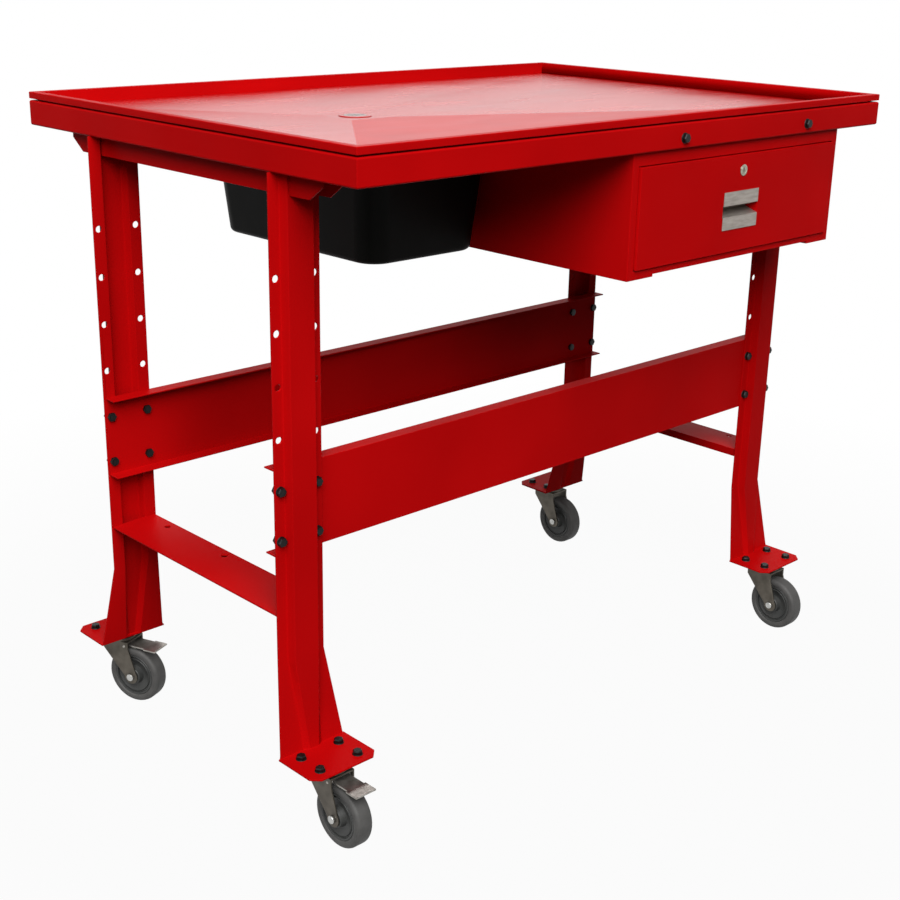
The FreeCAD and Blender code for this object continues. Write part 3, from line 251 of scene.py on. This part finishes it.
def drift_roughness(material, pattern, smooth, dull):
    """Lets the roughness drift between two values."""
    tree = material.node_tree
    span = tree.nodes.new("ShaderNodeMapRange")
    span.inputs["To Min"].default_value = smooth
    span.inputs["To Max"].default_value = dull
    tree.links.new(pattern, span.inputs["Value"])
    tree.links.new(span.outputs["Result"], shader_of(material).inputs["Roughness"])


def add_bump(material, scale, detail, strength, depth):
    """A fine ripple of the surface, its depth in metres."""
    tree = material.node_tree
    bump = tree.nodes.new("ShaderNodeBump")
    bump.inputs["Strength"].default_value = strength
    bump.inputs["Distance"].default_value = depth
    tree.links.new(noise_on(material, scale, detail), bump.inputs["Height"])
    tree.links.new(bump.outputs["Normal"], shader_of(material).inputs["Normal"])


# %% Helper for whole finishes
finishes = {}


def clouded_finish(name, roughness, metallic, specular, tone_scale, tone_detail, dark, light,
                   gloss_scale, gloss_detail, smooth, dull, tone_stretch=even, gloss_stretch=even):
    """A finish whose tone and gloss drift on two noise patterns, kept under its name."""
    material = bpy.data.materials.new(name)
    material.use_nodes = True
    shader = shader_of(material)
    shader.inputs["Roughness"].default_value = roughness
    shader.inputs["Metallic"].default_value = metallic
    shader.inputs["Specular IOR Level"].default_value = specular
    drift_colour(material, noise_on(material, tone_scale, tone_detail, tone_stretch), dark, light)
    drift_roughness(material, noise_on(material, gloss_scale, gloss_detail, gloss_stretch), smooth, dull)
    finishes[name] = material
    return material


# %% [markdown]
# Powder coat is sprayed as dust and melted in an oven, so it flows out smooth with a faint orange-peel
# ripple. In the picture it is a deep red that mirrors almost nothing where it is seen straight on, so its
# index of refraction is low.

# %% Red powder coat
red_deep = (0.41, 0.0016, 0.0022)
red_full = (0.50, 0.0024, 0.003)
coat_index = 1.07

red_coat = clouded_finish(
    "red_powder_coat", roughness=0.35, metallic=0, specular=0.5,
    tone_scale=4, tone_detail=2, dark=red_deep, light=red_full,
    gloss_scale=14, gloss_detail=3, smooth=0.3, dull=0.45)
shader_of(red_coat).inputs["IOR"].default_value = coat_index
add_bump(red_coat, scale=420, detail=2, strength=0.12, depth=0.0004)
print("red:", red_full)

# %% [markdown]
# The tray's floor has been wiped and worked on. It lies almost edge-on to the camera, where a smooth coat
# turns into a mirror, and shows the white room in streaks of pink, so it has a finish of its own. The facet
# along the front, where the work is done, is worn duller than the other three.

# %% Tray floor coats
wiping = (1, 2.5, 1)


def tray_finish(name, index, smooth, dull):
    """The tray floor's coat: its index of refraction, and how rough its smooth and dull streaks are."""
    material = clouded_finish(
        name, roughness=0.25, metallic=0, specular=0.5,
        tone_scale=6, tone_detail=3, dark=red_deep, light=red_full,
        gloss_scale=5, gloss_detail=4, smooth=smooth, dull=dull, gloss_stretch=wiping)
    shader_of(material).inputs["IOR"].default_value = index
    add_bump(material, scale=60, detail=3, strength=0.02, depth=0.0006)
    return material


tray_red = tray_finish("tray_floor_red", index=1.6, smooth=0.14, dull=0.36)
tray_worn = tray_finish("tray_worn_red", index=1.25, smooth=0.3, dull=0.45)
print("tray coats:", tray_red.name, tray_worn.name)

# %% [markdown]
# The bolts are black oxide steel. The casters' plates and forks and the drawer's slides are dull zinc, and
# the pedals and axles a brighter one. Plated steel is a metal with a faint cloud in its roughness.

# %% Bolts and plated steel
clouded_finish(
    "black_bolt", roughness=0.45, metallic=0.6, specular=0.4,
    tone_scale=220, tone_detail=2, dark=(0.004, 0.004, 0.004), light=(0.01, 0.01, 0.01),
    gloss_scale=300, gloss_detail=2, smooth=0.36, dull=0.55)
zinc = clouded_finish(
    "zinc_plate", roughness=0.45, metallic=0.85, specular=0.5,
    tone_scale=60, tone_detail=4, dark=(0.07, 0.062, 0.05), light=(0.13, 0.115, 0.095),
    gloss_scale=120, gloss_detail=3, smooth=0.38, dull=0.6)
add_bump(zinc, scale=500, detail=2, strength=0.1, depth=0.0002)
clouded_finish(
    "pedal_zinc", roughness=0.35, metallic=0.9, specular=0.5,
    tone_scale=80, tone_detail=3, dark=(0.22, 0.205, 0.185), light=(0.42, 0.4, 0.37),
    gloss_scale=120, gloss_detail=3, smooth=0.25, dull=0.45)
clouded_finish(
    "axle_steel", roughness=0.35, metallic=0.9, specular=0.5,
    tone_scale=150, tone_detail=2, dark=(0.38, 0.38, 0.365), light=(0.54, 0.54, 0.52),
    gloss_scale=200, gloss_detail=2, smooth=0.28, dull=0.42)
print("finishes so far:", len(finishes))

# %% [markdown]
# The drain's strainer and lock nut are brushed steel, tinted pink as a painted reflection of the
# pink glare on the tray floor around the strainer. The pull is satin nickel with a grain along its length,
# and the lock is chrome, darkened and warmed as a painted reflection of a dim, warm room. Brushing is a
# noise pattern that is stretched along one axis.

# %% Brushed and bright metals
drain_grain = (1, 8, 1)
pull_grain = (0.2, 1, 1)

# The strainer's steel is tinted pink: a painted reflection of the pink glare on the tray floor around it.
clouded_finish(
    "drain_steel", roughness=0.35, metallic=1, specular=0.5,
    tone_scale=300, tone_detail=3, dark=(0.13, 0.1, 0.095), light=(0.19, 0.155, 0.15),
    gloss_scale=300, gloss_detail=3, smooth=0.3, dull=0.45,
    tone_stretch=drain_grain, gloss_stretch=drain_grain)
clouded_finish(
    "pull_steel", roughness=0.4, metallic=0.75, specular=0.5,
    tone_scale=260, tone_detail=3, dark=(0.26, 0.23, 0.205), light=(0.37, 0.335, 0.3),
    gloss_scale=260, gloss_detail=3, smooth=0.35, dull=0.5,
    tone_stretch=pull_grain, gloss_stretch=pull_grain)
# The lock's chrome is darkened and tinted warm: a painted reflection of a dim, warm room in place of the white
# world.
clouded_finish(
    "lock_chrome", roughness=0.15, metallic=1, specular=0.5,
    tone_scale=200, tone_detail=2, dark=(0.28, 0.26, 0.2), light=(0.4, 0.38, 0.31),
    gloss_scale=300, gloss_detail=2, smooth=0.1, dull=0.22)
print("finishes so far:", len(finishes))

# %% [markdown]
# The pan is moulded black plastic with a fine grain from the mould. The hubs are dark grey plastic, and the
# tyres a softer grey rubber, dull and a little dusty.

# %% Plastic and rubber
pan_plastic = clouded_finish(
    "black_plastic", roughness=0.4, metallic=0, specular=0.04,
    tone_scale=8, tone_detail=3, dark=(0.002, 0.002, 0.0016), light=(0.0035, 0.0035, 0.0028),
    gloss_scale=30, gloss_detail=3, smooth=0.34, dull=0.5)
add_bump(pan_plastic, scale=900, detail=2, strength=0.25, depth=0.0002)
hub_plastic = clouded_finish(
    "hub_plastic", roughness=0.5, metallic=0, specular=0.4,
    tone_scale=40, tone_detail=3, dark=(0.028, 0.029, 0.028), light=(0.042, 0.043, 0.041),
    gloss_scale=80, gloss_detail=2, smooth=0.42, dull=0.6)
add_bump(hub_plastic, scale=800, detail=2, strength=0.2, depth=0.0002)
tyre_rubber = clouded_finish(
    "tyre_rubber", roughness=0.6, metallic=0, specular=0.4,
    tone_scale=50, tone_detail=4, dark=(0.052, 0.051, 0.049), light=(0.078, 0.076, 0.073),
    gloss_scale=90, gloss_detail=3, smooth=0.5, dull=0.7)
add_bump(tyre_rubber, scale=700, detail=3, strength=0.3, depth=0.0003)
print("finishes:", len(finishes))

# %% [markdown]
# Folded sheet never has knife edges: each bend has a radius, and each cut edge is dulled by the coat. The
# solids have square edges, so each sheet piece is a merged copy of its solid with a small bevel. Copying
# keeps every hole and notch where the solid has it, and the bevel catches the light along the edges.

# %% Helpers for pieces


def own_piece(name, mesh, material, node):
    """Puts a finished mesh in the scene in place of its node."""
    piece = bpy.data.objects.new(name, mesh)
    scene.collection.objects.link(piece)
    mesh.materials.clear()
    mesh.materials.append(material)
    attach(piece, body_of[node])
    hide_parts(node)
    return piece


def plain_mesh(worker):
    """The evaluated mesh of an object, free of its modifiers; the object itself is removed."""
    depsgraph = bpy.context.evaluated_depsgraph_get()
    mesh = bpy.data.meshes.new_from_object(worker.evaluated_get(depsgraph))
    bpy.data.objects.remove(worker)
    return mesh


# %% [markdown]
# The tray's floor folds by only a degree or two where its facets meet. Such shallow folds are marked sharp,
# so that each facet mirrors the room as a plane. The tray's four rim strips meet at mitres, and the end faces
# inside those corners are left out of the copy, so that the strips merge into one sheet.

# %% Helper for edged pieces
weld_reach = 0.00002
flat_angle = math.radians(0.1)
fold_angle = math.radians(5)
bevel_angle = math.radians(35)
bevel_segments = 2
mitre_slack = 0.01
corner_reach = 0.1


def mitre_end(face, corner_x):
    """Whether a face lies inside a mitred corner: upright, halfway between two sides, and far enough out."""
    upright = abs(face.normal.z) < mitre_slack
    halfway = abs(abs(face.normal.x) - abs(face.normal.y)) < mitre_slack
    return upright and halfway and abs(face.calc_center_median().x) > corner_x


def edged_copy(node, width, mitred=False):
    """A merged copy of a node with its sharp edges rounded, and its mitres closed to one sheet if asked."""
    shell = bmesh.new()
    shell.from_mesh(nodes[node].data)
    if mitred:
        corner_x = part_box(node)[1].x - corner_reach
        inside = [face for face in shell.faces if mitre_end(face, corner_x)]
        bmesh.ops.delete(shell, geom=inside, context="FACES")
    bmesh.ops.remove_doubles(shell, verts=shell.verts, dist=weld_reach)
    bmesh.ops.dissolve_limit(shell, angle_limit=flat_angle, verts=shell.verts, edges=shell.edges)
    for edge in shell.edges:
        if edge.is_manifold and flat_angle < edge.calc_face_angle() < fold_angle:
            edge.smooth = False
    mesh = bpy.data.meshes.new(node)
    shell.to_mesh(mesh)
    shell.free()
    mesh.shade_smooth()
    worker = bpy.data.objects.new("worker", mesh)
    scene.collection.objects.link(worker)
    bevel = worker.modifiers.new("edge", "BEVEL")
    bevel.width = width
    bevel.segments = bevel_segments
    bevel.limit_method = "ANGLE"
    bevel.angle_limit = bevel_angle
    bevel.use_clamp_overlap = False
    flat_faces = worker.modifiers.new("flat_faces", "WEIGHTED_NORMAL")
    flat_faces.keep_sharp = True
    return plain_mesh(worker)


# %% Sheet pieces
sheet_edge = 0.0007
sheet_nodes = [node for node, slot in slot_of.items() if slot == "red_powder_coat"]
for node in sheet_nodes:
    finish = tray_red if node == "drain_fitting" else red_coat
    own_piece(f"{node}_sheet", edged_copy(node, sheet_edge, mitred=node == "top_tray"), finish, node)
print("sheet pieces:", len(sheet_nodes))

# %% [markdown]
# The tray is one sheet, but its floor has the tray coats. A floor face looks up and lies below the rim. The
# front facet falls toward the rear, so its normal leans that way, and it gets the worn coat.

# %% The tray's floor
rim_depth = 0.021
floor_slack = 0.001
looks_up = 0.9
front_tilt = 0.01
coat_slot = 1
worn_slot = 2

tray = bpy.data.objects["top_tray_sheet"]
tray.data.materials.append(tray_red)
tray.data.materials.append(tray_worn)
floor_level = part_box("top_tray")[1].z - rim_depth
floor_faces = [face for face in tray.data.polygons
               if face.normal.z > looks_up and face.center.z < floor_level + floor_slack]
for face in floor_faces:
    face.material_index = worn_slot if face.normal.y > front_tilt else coat_slot
print("tray floor faces:", len(floor_faces))

# %% [markdown]
# The smaller hard pieces are treated the same way, each with a bevel that suits its own thickness.

# %% Caster, drawer and drain fittings
fitting_edges = {"zinc_plate": 0.0006, "axle_steel": 0.0012, "drain_steel": 0.0004, "pull_steel": 0.0003,
                 "lock_chrome": 0.0003, "black_plastic": 0.0008}
fittings = {node: slot for node, slot in slot_of.items() if slot in fitting_edges}
for node, slot in fittings.items():
    finish = finishes["pedal_zinc" if node.startswith("brake_pedal") else slot]
    own_piece(f"{node}_fitting", edged_copy(node, fitting_edges[slot]), finish, node)
print("fittings:", len(fittings))

# %% [markdown]
# A wheel is a turned shape: one outline spun about the axle. The outline of the tyre has a rounded tread,
# and the hub has a raised rim, a groove and a dished face. Spinning the outline in small even steps gives a
# smooth ring. The axle's place and direction come from the joint, so the turned rear wheel needs nothing
# extra.

# %% Helpers for turned pieces
turn_steps = 96
turned_crease = math.radians(32)


def turned_mesh(name, outline, place, axis):
    """Spins a closed outline of (along the axle, from the axle) points about the axle."""
    along = Vector(axis).normalized()
    out = Vector((0, 0, 1))
    side = along.cross(out)
    shell = bmesh.new()
    rings = []
    for step in range(turn_steps):
        angle = 2 * math.pi * step / turn_steps
        ray = out * math.cos(angle) + side * math.sin(angle)
        rings.append([shell.verts.new(Vector(place) + along * x + ray * r) for x, r in outline])
    count = len(outline)
    for step in range(turn_steps):
        here = rings[step]
        there = rings[(step + 1) % turn_steps]
        for i in range(count):
            j = (i + 1) % count
            shell.faces.new((here[i], here[j], there[j], there[i]))
    bmesh.ops.recalc_face_normals(shell, faces=shell.faces)
    mesh = bpy.data.meshes.new(name)
    shell.to_mesh(mesh)
    shell.free()
    mesh.shade_smooth()
    mesh.set_sharp_from_angle(angle=turned_crease)
    return mesh


def mirrored(half):
    """A whole outline from the points of its right half, which run from the inside to the outside."""
    return half + [(-x, r) for x, r in reversed(half)]


# %% Tyre outline
wheel_width = 0.030
half_width = wheel_width / 2
tyre_depth = 0.013
tyre_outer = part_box("wheel_tyre_front_left")[1].z / 2
tyre_inner = tyre_outer - tyre_depth
tread_round = 0.007
tread_angles = [math.radians(degrees) for degrees in range(0, 91, 10)]
groove = 0.0012
groove_inset = 0.0006
seat_inset = 0.002


def tyre_outline():
    """From the tyre's seat on the hub, over a narrow groove, to the rounded tread."""
    half = [
        (half_width - seat_inset, tyre_inner), (half_width - groove_inset, tyre_inner + groove),
        (half_width, tyre_inner + 2 * groove)]
    for angle in tread_angles:
        x = half_width - tread_round + tread_round * math.cos(angle)
        r = tyre_outer - tread_round + tread_round * math.sin(angle)
        half.append((x, r))
    return mirrored(half)


print("tyre radius:", round(tyre_outer, 4))

# %% [markdown]
# Most of the hub's outline is given in three short tables. In each, the first number is how far a point lies
# below the wheel's side, and the second is its distance from the boss, the rim or the tyre's seat.

# %% Hub outline
boss_radius = 0.015
boss_half = 0.019
boss_round = 0.001
bore = 0.00505
bore_chamfer = 0.0008
rim_height = 0.0035
dish_out_from_boss = ((0.0065, 0.002), (0.007, 0.004))
bead_in_from_rim = ((0.0045, 0.007), (0.0025, 0.004), (0.0045, 0.0025), (0.0045, 0.001), (0.0015, 0))
lip_in_from_seat = ((0.001, 0.001), (seat_inset, 0))


def hub_outline():
    """From the bore, over the boss, the dished face and the bead at the rim, to the tyre's seat."""
    rim = tyre_inner - rim_height
    half = [
        (boss_half - bore_chamfer, bore), (boss_half, bore + bore_chamfer),
        (boss_half, boss_radius - boss_round), (boss_half - boss_round, boss_radius)]
    half += [(half_width - below, boss_radius + out) for below, out in dish_out_from_boss]
    half += [(half_width - below, rim - inward) for below, inward in bead_in_from_rim]
    half += [(half_width - below, tyre_inner - inward) for below, inward in lip_in_from_seat]
    return mirrored(half)


print("hub points:", len(hub_outline()))

# %% Wheels
corner_names = ("front_left", "front_right", "rear_left", "rear_right")
wheel_parts = (("tyre", tyre_outline(), tyre_rubber), ("hub", hub_outline(), hub_plastic))
for corner_name in corner_names:
    spin = joints[f"spin_{corner_name}"]
    for part, outline, finish in wheel_parts:
        node = f"wheel_{part}_{corner_name}"
        own_piece(f"{node}_turned", turned_mesh(node, outline, spin["pos_m"], spin["axis"]), finish, node)
print("wheels:", len(corner_names))

# %% [markdown]
# Bolts repeat, so one node tree makes them all. Its input is a mesh of loose points, one at each head's
# seat, with an arrow that says which way the head faces. The seats are read from the solids: each bolt in a
# group is a separate island, longer than its nut, and its head is the wider end.

# %% Read the bolt seats from the solids
bolt_head = 0.0055
bolt_flange = 0.0015
sideways_bolts = ("skirt_bolts", "stringer_bolts")


def islands(node):
    """The vertex places of each separate solid in a node."""
    shell = bmesh.new()
    shell.from_mesh(nodes[node].data)
    bmesh.ops.remove_doubles(shell, verts=shell.verts, dist=weld_reach)
    left = set(shell.verts)
    found = []
    while left:
        stack = [left.pop()]
        island = []
        while stack:
            vert = stack.pop()
            island.append(vert.co.copy())
            for edge in vert.link_edges:
                other = edge.other_vert(vert)
                if other in left:
                    left.remove(other)
                    stack.append(other)
        found.append(island)
    shell.free()
    return found


def spread(points, axis):
    values = [point[axis] for point in points]
    return min(values), max(values)


def bolts_of(node):
    """For each bolt of a group: its middle, the way its head faces, and its whole length."""
    found = []
    axis = 1 if node in sideways_bolts else 2
    across = (axis + 1) % 3
    for island in islands(node):
        low, high = spread(island, axis)
        if high - low < bolt_head + bolt_flange:
            continue
        middle = Vector([sum(spread(island, i)) / 2 for i in range(3)])
        near_top = [p for p in island if p[axis] > high - bolt_head / 2]
        near_low = [p for p in island if p[axis] < low + bolt_head / 2]
        top_width = max(abs(p[across] - middle[across]) for p in near_top)
        low_width = max(abs(p[across] - middle[across]) for p in near_low)
        facing = Vector((0, 0, 0))
        facing[axis] = 1 if top_width > low_width else -1
        found.append((middle, facing, high - low))
    return found


bolt_groups = [node for node, slot in slot_of.items() if slot == "black_bolt"]
bolt_seats = {node: bolts_of(node) for node in bolt_groups}
print({node: len(seats) for node, seats in bolt_seats.items()})

# %% [markdown]
# The tree builds a flange, a hexagon with a cut-back crown, a shank and a nut, each from a cone node, and
# every size is a named input. The casters' screws end in the plate itself, so for them a switch leaves the
# nut out.

# %% Nodes for one bolt
bolt_sizes = ("Head width", "Head height", "Flange width", "Flange height", "Shank width", "Grip",
              "Nut height", "Tail")
crown_share = 0.3
crown_width_share = 0.84
flange_top_share = 0.92
flange_sides = 40
hexagon = 6
shank_sides = 24


def feed(tree, value, socket):
    """Sets a socket to a number, or links it to the output of another node."""
    if isinstance(value, (int, float)):
        socket.default_value = value
    else:
        tree.links.new(value, socket)


def worked_out(tree, operation, first, second):
    """The output of one arithmetic node."""
    node = tree.nodes.new("ShaderNodeMath")
    node.operation = operation
    feed(tree, first, node.inputs[0])
    feed(tree, second, node.inputs[1])
    return node.outputs[0]


def barrel(tree, sides, low_width, high_width, low, height):
    """A straight or tapered prism that stands on a level along Z."""
    cone = tree.nodes.new("GeometryNodeMeshCone")
    cone.inputs["Vertices"].default_value = sides
    feed(tree, worked_out(tree, "DIVIDE", low_width, 2), cone.inputs["Radius Bottom"])
    feed(tree, worked_out(tree, "DIVIDE", high_width, 2), cone.inputs["Radius Top"])
    feed(tree, height, cone.inputs["Depth"])
    lift = tree.nodes.new("ShaderNodeCombineXYZ")
    feed(tree, low, lift.inputs["Z"])
    move = tree.nodes.new("GeometryNodeTransform")
    feed(tree, cone.outputs["Mesh"], move.inputs["Geometry"])
    feed(tree, lift.outputs["Vector"], move.inputs["Translation"])
    return move.outputs["Geometry"]


def one_bolt(tree, given):
    """A bolt whose head sits on level zero and faces up, with its nut below if asked."""
    head, head_height, flange, flange_height, shank, grip, nut, tail = (given[name] for name in bolt_sizes)
    prism_height = worked_out(tree, "MULTIPLY", head_height, 1 - crown_share)
    crown_height = worked_out(tree, "MULTIPLY", head_height, crown_share)
    crown_low = worked_out(tree, "ADD", flange_height, prism_height)
    crown = worked_out(tree, "MULTIPLY", head, crown_width_share)
    flange_top = worked_out(tree, "MULTIPLY", flange, flange_top_share)
    below = worked_out(tree, "ADD", grip, nut)
    nut_low = worked_out(tree, "MULTIPLY", below, -1)
    shank_length = worked_out(tree, "ADD", below, tail)
    shank_low = worked_out(tree, "MULTIPLY", shank_length, -1)
    nut_or_none = tree.nodes.new("GeometryNodeSwitch")
    nut_or_none.input_type = "GEOMETRY"
    feed(tree, given["Nut"], nut_or_none.inputs["Switch"])
    feed(tree, barrel(tree, hexagon, head, head, nut_low, nut), nut_or_none.inputs["True"])
    together = tree.nodes.new("GeometryNodeJoinGeometry")
    feed(tree, nut_or_none.outputs["Output"], together.inputs["Geometry"])
    for piece in (
            barrel(tree, shank_sides, shank, shank, shank_low, shank_length),
            barrel(tree, hexagon, head, crown, crown_low, crown_height),
            barrel(tree, hexagon, head, head, flange_height, prism_height),
            barrel(tree, flange_sides, flange, flange_top, 0, flange_height)):
        feed(tree, piece, together.inputs["Geometry"])
    return together.outputs["Geometry"]


print("sizes of a bolt:", len(bolt_sizes))

# %% [markdown]
# The tree then puts one bolt on each point, turned along the point's arrow, makes the copies real and gives
# them their finish.

# %% Build the bolt tree


def bolt_tree():
    tree = bpy.data.node_groups.new("flange_bolts", "GeometryNodeTree")
    tree.interface.new_socket("Seats", in_out="INPUT", socket_type="NodeSocketGeometry")
    for name in bolt_sizes:
        tree.interface.new_socket(name, in_out="INPUT", socket_type="NodeSocketFloat")
    tree.interface.new_socket("Nut", in_out="INPUT", socket_type="NodeSocketBool")
    tree.interface.new_socket("Finish", in_out="INPUT", socket_type="NodeSocketMaterial")
    tree.interface.new_socket("Bolts", in_out="OUTPUT", socket_type="NodeSocketGeometry")
    given = tree.nodes.new("NodeGroupInput").outputs
    made = tree.nodes.new("NodeGroupOutput").inputs
    link = tree.links.new
    facing = tree.nodes.new("GeometryNodeInputNamedAttribute")
    facing.data_type = "FLOAT_VECTOR"
    facing.inputs["Name"].default_value = "facing"
    align = tree.nodes.new("FunctionNodeAlignRotationToVector")
    align.axis = "Z"
    link(facing.outputs["Attribute"], align.inputs["Vector"])
    copies = tree.nodes.new("GeometryNodeInstanceOnPoints")
    link(given["Seats"], copies.inputs["Points"])
    link(one_bolt(tree, given), copies.inputs["Instance"])
    link(align.outputs["Rotation"], copies.inputs["Rotation"])
    real = tree.nodes.new("GeometryNodeRealizeInstances")
    link(copies.outputs["Instances"], real.inputs["Geometry"])
    paint = tree.nodes.new("GeometryNodeSetMaterial")
    link(real.outputs["Geometry"], paint.inputs["Geometry"])
    link(given["Finish"], paint.inputs["Material"])
    link(paint.outputs["Geometry"], made["Bolts"])
    return tree


flange_bolts = bolt_tree()
print("bolt tree nodes:", len(flange_bolts.nodes))

# %% [markdown]
# A bolt's length is read from its solid, and what the head, nut and tail leave of it is the grip: the sheets
# that the bolt clamps.

# %% Place the bolts
nut_height = 0.005
bolt_tail = 0.0005
screwed_in = ("caster_bolts",)
bolt_crease = math.radians(30)
large_bolt = {"Head width": 0.015, "Flange width": 0.0156, "Shank width": 0.0095}
small_bolt = {"Head width": 0.015, "Flange width": 0.0165, "Shank width": 0.008}


def bolt_group(node, widths):
    """All bolts of one node as a plain mesh."""
    seats = bolt_seats[node]
    length = seats[0][2]
    has_nut = node not in screwed_in
    below = nut_height if has_nut else 0
    tail = bolt_tail if has_nut else 0
    grip = length - bolt_head - bolt_flange - below - tail
    points = [middle + facing * (length / 2 - bolt_head - bolt_flange) for middle, facing, _ in seats]
    mesh = bpy.data.meshes.new(node)
    mesh.from_pydata(points, [], [])
    arrows = mesh.attributes.new("facing", "FLOAT_VECTOR", "POINT")
    arrows.data.foreach_set("vector", [value for _, facing, _ in seats for value in facing])
    worker = bpy.data.objects.new("worker", mesh)
    scene.collection.objects.link(worker)
    modifier = worker.modifiers.new("bolts", "NODES")
    modifier.node_group = flange_bolts
    values = {**widths, "Head height": bolt_head, "Flange height": bolt_flange, "Grip": grip,
              "Nut height": below, "Tail": tail, "Nut": has_nut, "Finish": finishes["black_bolt"]}
    for socket in flange_bolts.interface.items_tree:
        if socket.name in values:
            modifier[socket.identifier] = values[socket.name]
    made = plain_mesh(worker)
    made.shade_smooth()
    made.set_sharp_from_angle(angle=bolt_crease)
    return made


for node in bolt_groups:
    widths = large_bolt if node == "stringer_bolts" else small_bolt
    piece = own_piece(f"{node}_set", bolt_group(node, widths), finishes["black_bolt"], node)
    print(node, len(piece.data.polygons), "faces")
